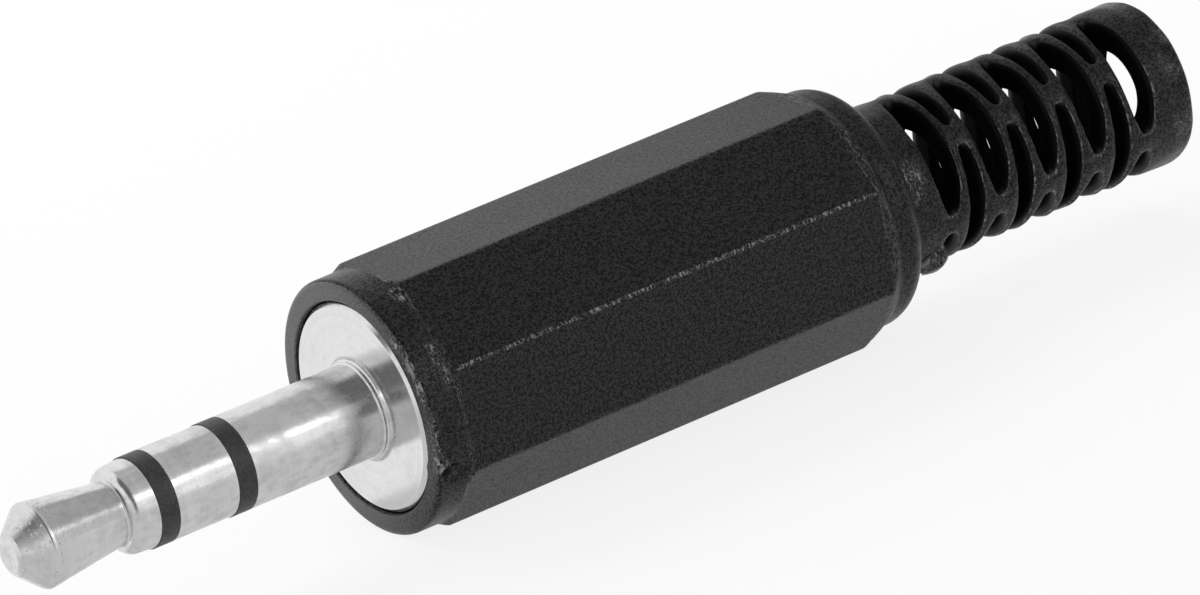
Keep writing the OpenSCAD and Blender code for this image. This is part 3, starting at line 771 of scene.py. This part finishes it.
def bootTree(sizes, counts, material, hollow):
    tree = bpy.data.node_groups.new("slottedRelief", "GeometryNodeTree")
    for kind, values in (("NodeSocketFloat", sizes), ("NodeSocketInt", counts)):
        for name, value in values.items():
            tree.interface.new_socket(name=name, in_out="INPUT", socket_type=kind).default_value = value
    tree.interface.new_socket(name="Geometry", in_out="OUTPUT", socket_type="NodeSocketGeometry")
    entry = tree.nodes.new("NodeGroupInput")
    given = {s.name: Value(tree, s) for s in entry.outputs if s.name}
    tiny = 0.000002  # points closer than this, in metres, are merged
    endRing, endBevel, endDrop = 0.9, 0.35, 0.1  # plain ring behind the last slot, and its bevelled end

    def node(kind, settings=None, inputs=None, output=0):
        return addNode(tree, kind, settings, inputs, output)

    def keep(geometry, name, value, domain="POINT"):
        return node("GeometryNodeStoreNamedAttribute", {"data_type": "FLOAT", "domain": domain},
                    {"Geometry": geometry, "Name": name, "Value": value})

    def kept(name):
        return node("GeometryNodeInputNamedAttribute", {"data_type": "FLOAT"}, {"Name": name})

    def clipped(value, low, high):
        return value.maths("MAXIMUM", low).maths("MINIMUM", high)

    rows, columns = given["Rows"], given["Columns"]
    rootLines = 6  # plain lines at the root, then four for each row and three more for the end ring
    lines = rows * 4 + (rootLines + 3)
    grid = node("GeometryNodeMeshGrid", {}, {"Size X": lines - 1, "Size Y": columns,
                                             "Vertices X": lines, "Vertices Y": columns + 1})
    place = node("GeometryNodeInputPosition")
    gridX, gridY = splitVector(place)[:2]
    line = (gridX + (lines - 1) / 2).maths("ROUND")
    column = (gridY + columns / 2).maths("ROUND")

    # twelve columns make 60 degrees: four narrow ones over the bridge and eight over the slot
    step = column.maths("MODULO", 12)
    bridge = step.maths("MINIMUM", 2) * 4
    slot = clipped(step - 2, 0, 8) * 5.5
    degrees = (column / 12).maths("FLOOR") * 60 + bridge + slot + (step - 10).maths("MAXIMUM", 0) * 4

    def fromSlotMiddle(angle, row):
        middle = row.maths("MODULO", 2) * 60  # every second row is turned by half a step
        return ((angle - middle + 420).maths("MODULO", 120) - 60).maths("ABSOLUTE")

    def halfWidth(row):
        share = fromSlotMiddle(degrees, row) / given["Slot half angle"]
        arch = (1 - share * share * share).maths("MAXIMUM", 0)
        wider = given["Last slot wider"] * row.maths("GREATER_THAN", rows - 1.5)
        turned = (given["Turned slot width"] - given["Slot width"]) * row.maths("MODULO", 2)
        width = given["Slot width"] + turned + wider
        return given["Slot end width"] / 2 + arch * (width - given["Slot end width"]) / 2

    # lines of a row: both edges of its slot, then two on the rib behind it
    row = clipped(((line - rootLines) / 4).maths("FLOOR"), 0, rows - 1)
    part = line - rootLines - row * 4
    centre = given["First slot"] + row * given["Pitch"]
    front, rear = centre - halfWidth(row), centre + halfWidth(row)
    nextFront = centre + given["Pitch"] - halfWidth(row + 1)
    lastRow = row.maths("COMPARE", rows - 1, 0.1)
    goal = lastRow * (given["End"] - endRing) + (1 - lastRow) * nextFront
    soft = given["Edge"]
    onRib = rear + soft * part.maths("COMPARE", 2, 0.1) + (goal - soft - rear) * part.maths("COMPARE", 3, 0.1)
    slotLine = front * part.maths("COMPARE", 0, 0.1) + onRib * part.maths("GREATER_THAN", 0.5)
    rootEnd = given["First slot"] - halfWidth(row * 0) - soft
    rootLine = given["Start"] + (rootEnd - given["Start"]) * (line / (rootLines - 1))
    isRoot = line.maths("LESS_THAN", rootLines - 0.5)
    isEnd = line.maths("GREATER_THAN", lines - 3.5)
    endLine = given["End"] - endBevel + (line - (lines - 3)) / 2 * endBevel
    x = rootLine * isRoot + (1 - isRoot) * (slotLine * (1 - isEnd) + endLine * isEnd)

    besideSlot = fromSlotMiddle(degrees, row).maths("LESS_THAN", given["Slot half angle"] + 4)
    slotEdge = besideSlot * part.maths("GREATER_THAN", -0.5) * part.maths("LESS_THAN", 1.5) * (1 - isEnd)
    lastLine = line.maths("GREATER_THAN", lines - 1.5)
    radius = given["Outer radius"] - lastLine * endDrop - slotEdge * given["Edge drop"]
    angle = (degrees + given["Turn"]) * (math.pi / 180)
    moved = node("ShaderNodeCombineXYZ", {}, {0: x * mm, 1: radius * angle.maths("COSINE") * mm,
                                              2: radius * angle.maths("SINE") * mm})
    # the slot edges also keep a mark, which the plastic shows as painted glints
    # line and angle are kept before the points move, because faces are chosen by them
    marked = keep(keep(keep(grid, "line", line), "degrees", degrees), "edge", slotEdge)
    bent = node("GeometryNodeSetPosition", {}, {"Geometry": marked, "Position": moved})

    faceLine, faceAngle = kept("line"), kept("degrees")
    slotRow = ((faceLine - rootLines) / 4).maths("FLOOR")
    between = (faceLine - rootLines - slotRow * 4).maths("COMPARE", 0.5, 0.2)
    onRows = faceLine.maths("LESS_THAN", lines - 3.2) * faceLine.maths("GREATER_THAN", rootLines - 0.2)
    gap = between * onRows * fromSlotMiddle(faceAngle, slotRow).maths("LESS_THAN", given["Slot half angle"])
    holed = node("GeometryNodeDeleteGeometry", {"domain": "FACE"}, {"Geometry": bent, "Selection": gap})
    seamless = node("GeometryNodeMergeByDistance", {}, {"Geometry": holed, "Distance": tiny})
    skin = node("GeometryNodeSetMaterial", {}, {"Geometry": seamless, "Material": material})

    # the skin grows inwards by the wall, in three steps that keep the edges crisp
    flat = node("ShaderNodeVectorMath", {"operation": "MULTIPLY"}, {0: place, 1: (0.0, 1.0, 1.0)})
    outward = node("ShaderNodeVectorMath", {"operation": "NORMALIZE"}, {0: flat})
    inward = node("ShaderNodeVectorMath", {"operation": "SCALE"}, {0: outward, 3: -1.0})
    grown = skin
    for share in (0.08, 0.84, 0.08):
        grown = node("GeometryNodeExtrudeMesh", {"mode": "FACES"},
                     {"Mesh": grown, "Offset": inward, "Offset Scale": given["Wall"] * share * mm,
                      "Individual": False})
    inner = node("GeometryNodeFlipFaces", {}, {"Mesh": keep(grown, "deep", 1.0, "FACE")})
    joined = tree.nodes.new("GeometryNodeJoinGeometry")
    tree.links.new(inner.socket, joined.inputs[0])
    tree.links.new(skin.socket, joined.inputs[0])
    shell = Value(tree, joined.outputs[0])
    closed = node("GeometryNodeMergeByDistance", {}, {"Geometry": shell, "Distance": tiny})
    smooth = node("GeometryNodeSubdivisionSurface", {}, {"Mesh": closed, "Level": 1})
    ripple = node("ShaderNodeTexNoise", {}, {"Scale": 700.0, "Detail": 1.0})
    height = (ripple - 0.5) * given["Ripple"] * mm
    lift = node("ShaderNodeVectorMath", {"operation": "SCALE"}, {0: outward, 3: height})
    wavy = node("GeometryNodeSetPosition", {}, {"Geometry": smooth, "Offset": lift})
    outside = node("GeometryNodeFlipFaces", {}, {"Mesh": wavy})  # the bent grid faces the axis
    shaded = node("GeometryNodeSetShadeSmooth", {}, {"Geometry": outside})
    real = node("GeometryNodeRealizeInstances", {}, {"Geometry": shaded})
    deep = kept("deep").maths("GREATER_THAN", 0.5)
    # the inner faces take the plastic with painted shade
    final = node("GeometryNodeSetMaterial", {}, {"Geometry": real, "Selection": deep, "Material": hollow})
    leave = tree.nodes.new("NodeGroupOutput")
    tree.links.new(final.socket, leave.inputs[0])
    return tree


def meshFromTree(name, tree, values):
    holder = addObject(name, bpy.data.meshes.new(name))
    modifier = holder.modifiers.new("nodes", "NODES")
    modifier.node_group = tree
    for item in tree.interface.items_tree:
        if item.in_out == "INPUT" and item.name in values:
            modifier[item.identifier] = values[item.name]
    graph = bpy.context.evaluated_depsgraph_get()
    mesh = bpy.data.meshes.new_from_object(holder.evaluated_get(graph))
    bpy.data.objects.remove(holder)
    return mesh


def paintGlintsOnRelief(work, edge, wearAndGlint, patch):
    for v in work.verts:
        x, r = v.co.x / mm, math.hypot(v.co.y, v.co.z) / mm
        angle = math.degrees(math.atan2(v.co.z, v.co.y)) % 360
        # painted glints: the slot-edge marks are kept on the side turned to the light
        turned = ramp(angle - wearAndGlint["from"], wearAndGlint["over"]) if angle < wearAndGlint["until"] else 0
        v[edge] *= wearAndGlint["least"] + (1 - wearAndGlint["least"]) * turned
        if r < 3 or x > 24.5:  # the patch is on the outside of the root
            continue
        near = math.hypot((x - patch["x"]) / patch["long"], (angle - patch["angle"]) / patch["wide"])
        lift = 1 + patch["height"] * math.exp(-near * near) / r
        v.co.y, v.co.z = v.co.y * lift, v.co.z * lift
        # painted sheen: the patch gets a mark that lightens its colour
        v[edge] = max(v[edge], min(1.4 - near, 1))


def addLump(work, edge, n):
    # a lump of flash that hangs in the first slot under the root
    angle = math.radians(n["angle"])
    sunk = Matrix.Translation(ringPoint(n["x"], n["radius"], angle)) @ Matrix.Rotation(angle, 4, "X")
    lump = bmesh.ops.create_icosphere(work, subdivisions=3, radius=1.0)["verts"]
    for v in lump:
        rough = 1 + n["lumpy"] * noise.noise(v.co * n["lumps"])
        along, out, side = (a * b * rough for a, b in zip(v.co, n["size"]))
        v.co = sunk @ Vector((along * mm, out * mm, side * mm))
        # painted highlights: the tops of the lumps get a mark that lightens their colour
        v[edge] = 1.3 if rough > 1.05 else 0.6
    for face in {f for v in lump for f in v.link_faces}:
        face.smooth = True


def buildCover(handle, flaws, boot):
    body = buildHandle(handle, flaws, boot)
    relief = meshFromTree("relief", bootTree(boot, bootCounts, finishes["plastic"], finishes["hollow"]), boot)
    # faces of the slots and the bore take the plastic with painted shade
    dull = [m is not None and m.name == "hollowPlastic" for m in relief.materials]
    work = bmesh.new()
    edge = work.verts.layers.float.new("edge")
    work.from_mesh(relief)
    for face in work.faces:
        face.material_index = int(dull[face.material_index])
    paintGlintsOnRelief(work, edge, reliefGlintBySide, rootPatch)
    addLump(work, edge, flashLump)
    work.from_mesh(body)
    mesh = bpy.data.meshes.new("handleMoulding")
    mesh.materials.append(finishes["plastic"])
    mesh.materials.append(finishes["hollow"])
    work.to_mesh(mesh)
    work.free()
    print("strain relief:", len(relief.polygons), "faces, whole moulding:", len(mesh.polygons))
    finish(addObject("handleMoulding", mesh), "handle", "handle", "plastic", "cover")


buildCover(handleSizes, handleFlaws, bootSizes)
print("handle made")


# Stamped tags and punched washers: the CAD meshes, their edges rounded by tumbling and tinning
punchedSizes = {"sharperThan": 30, "segments": 3, "flatWithin": 0.5, "merge": 0.0005}
punchedPieces = {
    "groundTag": {"node": "ground_lug", "slot": "tinned_tag", "look": "tag", "edge": 0.07},
    "ringTag": {"node": "ring_lug", "slot": "tinned_tag", "look": "tag", "edge": 0.06},
    "tipTag": {"node": "tip_lug", "slot": "tinned_tag", "look": "tag", "edge": 0.06},
    "ringWasher": {"node": "ring_washer", "slot": "washer", "look": "board", "edge": 0.05},
    "tipWasher": {"node": "tip_washer", "slot": "washer", "look": "board", "edge": 0.05},
}


def isSharp(edge, degrees):
    return len(edge.link_faces) == 2 and edge.calc_face_angle() > math.radians(degrees)


def buildPunched(name, plan, n):
    work = bmesh.new()
    work.from_mesh(nodes[plan["node"]].data)
    bmesh.ops.remove_doubles(work, verts=work.verts, dist=n["merge"] * mm)
    flat = math.radians(n["flatWithin"])
    bmesh.ops.dissolve_limit(work, angle_limit=flat, verts=work.verts, edges=work.edges)
    sharp = [e for e in work.edges if isSharp(e, n["sharperThan"])]
    bmesh.ops.bevel(work, geom=sharp, offset=plan["edge"] * mm, offset_type="OFFSET", segments=n["segments"],
                    profile=0.5, affect="EDGES", clamp_overlap=True)
    bmesh.ops.triangulate(work, faces=[f for f in work.faces if len(f.verts) > 4])
    made = addObject(name, meshFrom(work, name, sharpFrom=35))
    finish(made, "plug", plan["slot"], plan["look"], plan["node"])
    return len(sharp)


for name, plan in punchedPieces.items():
    print(name, "edges rounded:", buildPunched(name, plan, punchedSizes))


# Plain studio: pale floor, soft lamps, and cards that only reflections see
studio = {
    "floorZ": -4.8, "floorSize": 1500, "skyForObject": 0.45,
    "nearGlow": 0.85, "glowFrom": 30, "glowTo": 160,  # the floor glows less near the plug
}
lamps = {
    # places and sizes in metres
    "backLamp": {"place": (0.0, 0.16, 0.15), "size": (0.25, 0.16), "power": 0.42},
    "fillLamp": {"place": (-0.22, -0.1, 0.12), "size": (0.15, 0.15), "power": 0.06},
}
strips = {
    # angle round the plug from +Y over the top, half width of the card as an angle, and brightness
    "overheadCard": {"angle": 100, "spread": 41, "level": 0.52},
    "keyStrip": {"angle": 147, "spread": 5.5, "level": 2.4},
    "frontCard": {"angle": 169, "spread": 12, "level": 1.0},
    "backCard": {"angle": 26, "spread": 30, "level": 0.94},
}


def rayIsSeen(tree):
    # 1 for rays of the camera and of reflections, 0 for the light that falls on the plug
    path = tree.nodes.new("ShaderNodeLightPath")
    kinds = ("Is Camera Ray", "Is Glossy Ray", "Is Transmission Ray")
    camera, glossy, clear = (Value(tree, path.outputs[kind]) for kind in kinds)
    return (camera + glossy + clear).clamped()


def buildFloor(n):
    s = Shader("paleFloor")
    s.tree.nodes.remove(s.surface)
    x, y = splitVector(s.objectPoint())[:2]
    far = distance(x, y).between(n["glowFrom"] * mm, n["glowTo"] * mm)
    bright = (rayIsSeen(s.tree) * (n["nearGlow"] + far * (1 - n["nearGlow"]))).clamped()
    lit = s.node("ShaderNodeBsdfDiffuse", {}, {"Color": grey(0.9)})
    glow = s.node("ShaderNodeEmission", {}, {"Color": white})
    material = s.end(s.node("ShaderNodeMixShader", {}, {0: bright, 1: lit, 2: glow}))
    half, low = n["floorSize"] / 2 * mm, n["floorZ"] * mm
    mesh = bpy.data.meshes.new("floor")
    mesh.from_pydata(sheet((-half, -half), (half, half), low), [], [(0, 1, 2, 3)])
    mesh.materials.append(material)
    addObject("floor", mesh)


def buildWorld(n):
    world = bpy.data.worlds.new("studio")
    scene.world = world
    world.use_nodes = True
    tree = world.node_tree
    tree.nodes.clear()
    room = addNode(tree, "ShaderNodeBackground", {}, {"Color": white, "Strength": n["skyForObject"]})
    backdrop = addNode(tree, "ShaderNodeBackground", {}, {"Color": white})
    mix = addNode(tree, "ShaderNodeMixShader", {}, {0: rayIsSeen(tree), 1: room, 2: backdrop})
    leave = tree.nodes.new("ShaderNodeOutputWorld")
    tree.links.new(mix.socket, leave.inputs[0])


def buildLamp(name, n):
    data = bpy.data.lights.new(name, "AREA")
    data.shape, data.energy = "RECTANGLE", n["power"]
    data.size, data.size_y = n["size"]
    lamp = addObject(name, data)
    place, aim = Vector(n["place"]), Vector((0.008, 0, 0))
    lamp.location = place
    lamp.rotation_mode = "QUATERNION"
    lamp.rotation_quaternion = (aim - place).to_track_quat("-Z", "Y")
    lamp.visible_glossy = False


def sheet(first, second, height):
    (x, y), (farX, farY) = first, second
    return [(x, y, height), (farX, y, height), (farX, farY, height), (x, farY, height)]


def wall(first, second, low, high):
    return [(*first, low), (*second, low), (*second, high), (*first, high)]


def strip(n, away=0.2, halfLength=0.16):
    # where rays that run from the camera to a surface along the axis go after they bounce there
    angle = math.radians(n["angle"])
    across = away * math.sqrt(1 - toCamera.x ** 2)
    centre = Vector((0.01 - toCamera.x * away, math.cos(angle) * across, math.sin(angle) * across))
    side = Vector((0, -math.sin(angle), math.cos(angle))) * across * math.tan(math.radians(n["spread"]))
    along = Vector((halfLength, 0, 0))
    return [centre - side - along, centre - side + along, centre + side + along, centre + side - along]


def buildCard(name, corners, level):
    s = Shader(name)
    s.tree.nodes.remove(s.surface)
    mesh = bpy.data.meshes.new(name)
    mesh.from_pydata(corners, [], [(0, 1, 2, 3)])
    mesh.materials.append(s.end(s.node("ShaderNodeEmission", {}, {"Color": white, "Strength": level})))
    card = addObject(name, mesh)
    card.visible_camera = card.visible_diffuse = card.visible_shadow = card.visible_transmission = False


# the other cards stand round the plug: places and heights in metres, and brightness
lowZ = (studio["floorZ"] + 0.05) * mm
roomCards = {
    "floorCard": (sheet((-0.1, -0.12), (0.2, 0.003), lowZ), 0.66),
    "endCard": (wall((0.13, -0.22), (0.13, 0.22), lowZ, 0.22), 0.36),
    "noseCard": (wall((-0.2, -0.02), (-0.17, -0.17), 0.0, 0.09), 0.9),
    "darkCorner": (wall((-0.3, -0.12), (-0.26, -0.34), 0.004, 0.4), 0.06),
    "dimCeiling": (sheet((-0.42, -0.36), (-0.09, 0.1), 0.3), 0.14),
    "darkRoom": (wall((-0.26, -0.34), (-0.13, -0.36), 0.004, 0.4), 0.06),
}
buildFloor(studio)
buildWorld(studio)
for name, plan in lamps.items():
    buildLamp(name, plan)
for name, plan in strips.items():
    buildCard(name, strip(plan), plan["level"])
for name, (corners, level) in roomCards.items():
    buildCard(name, corners, level)
print("studio made")
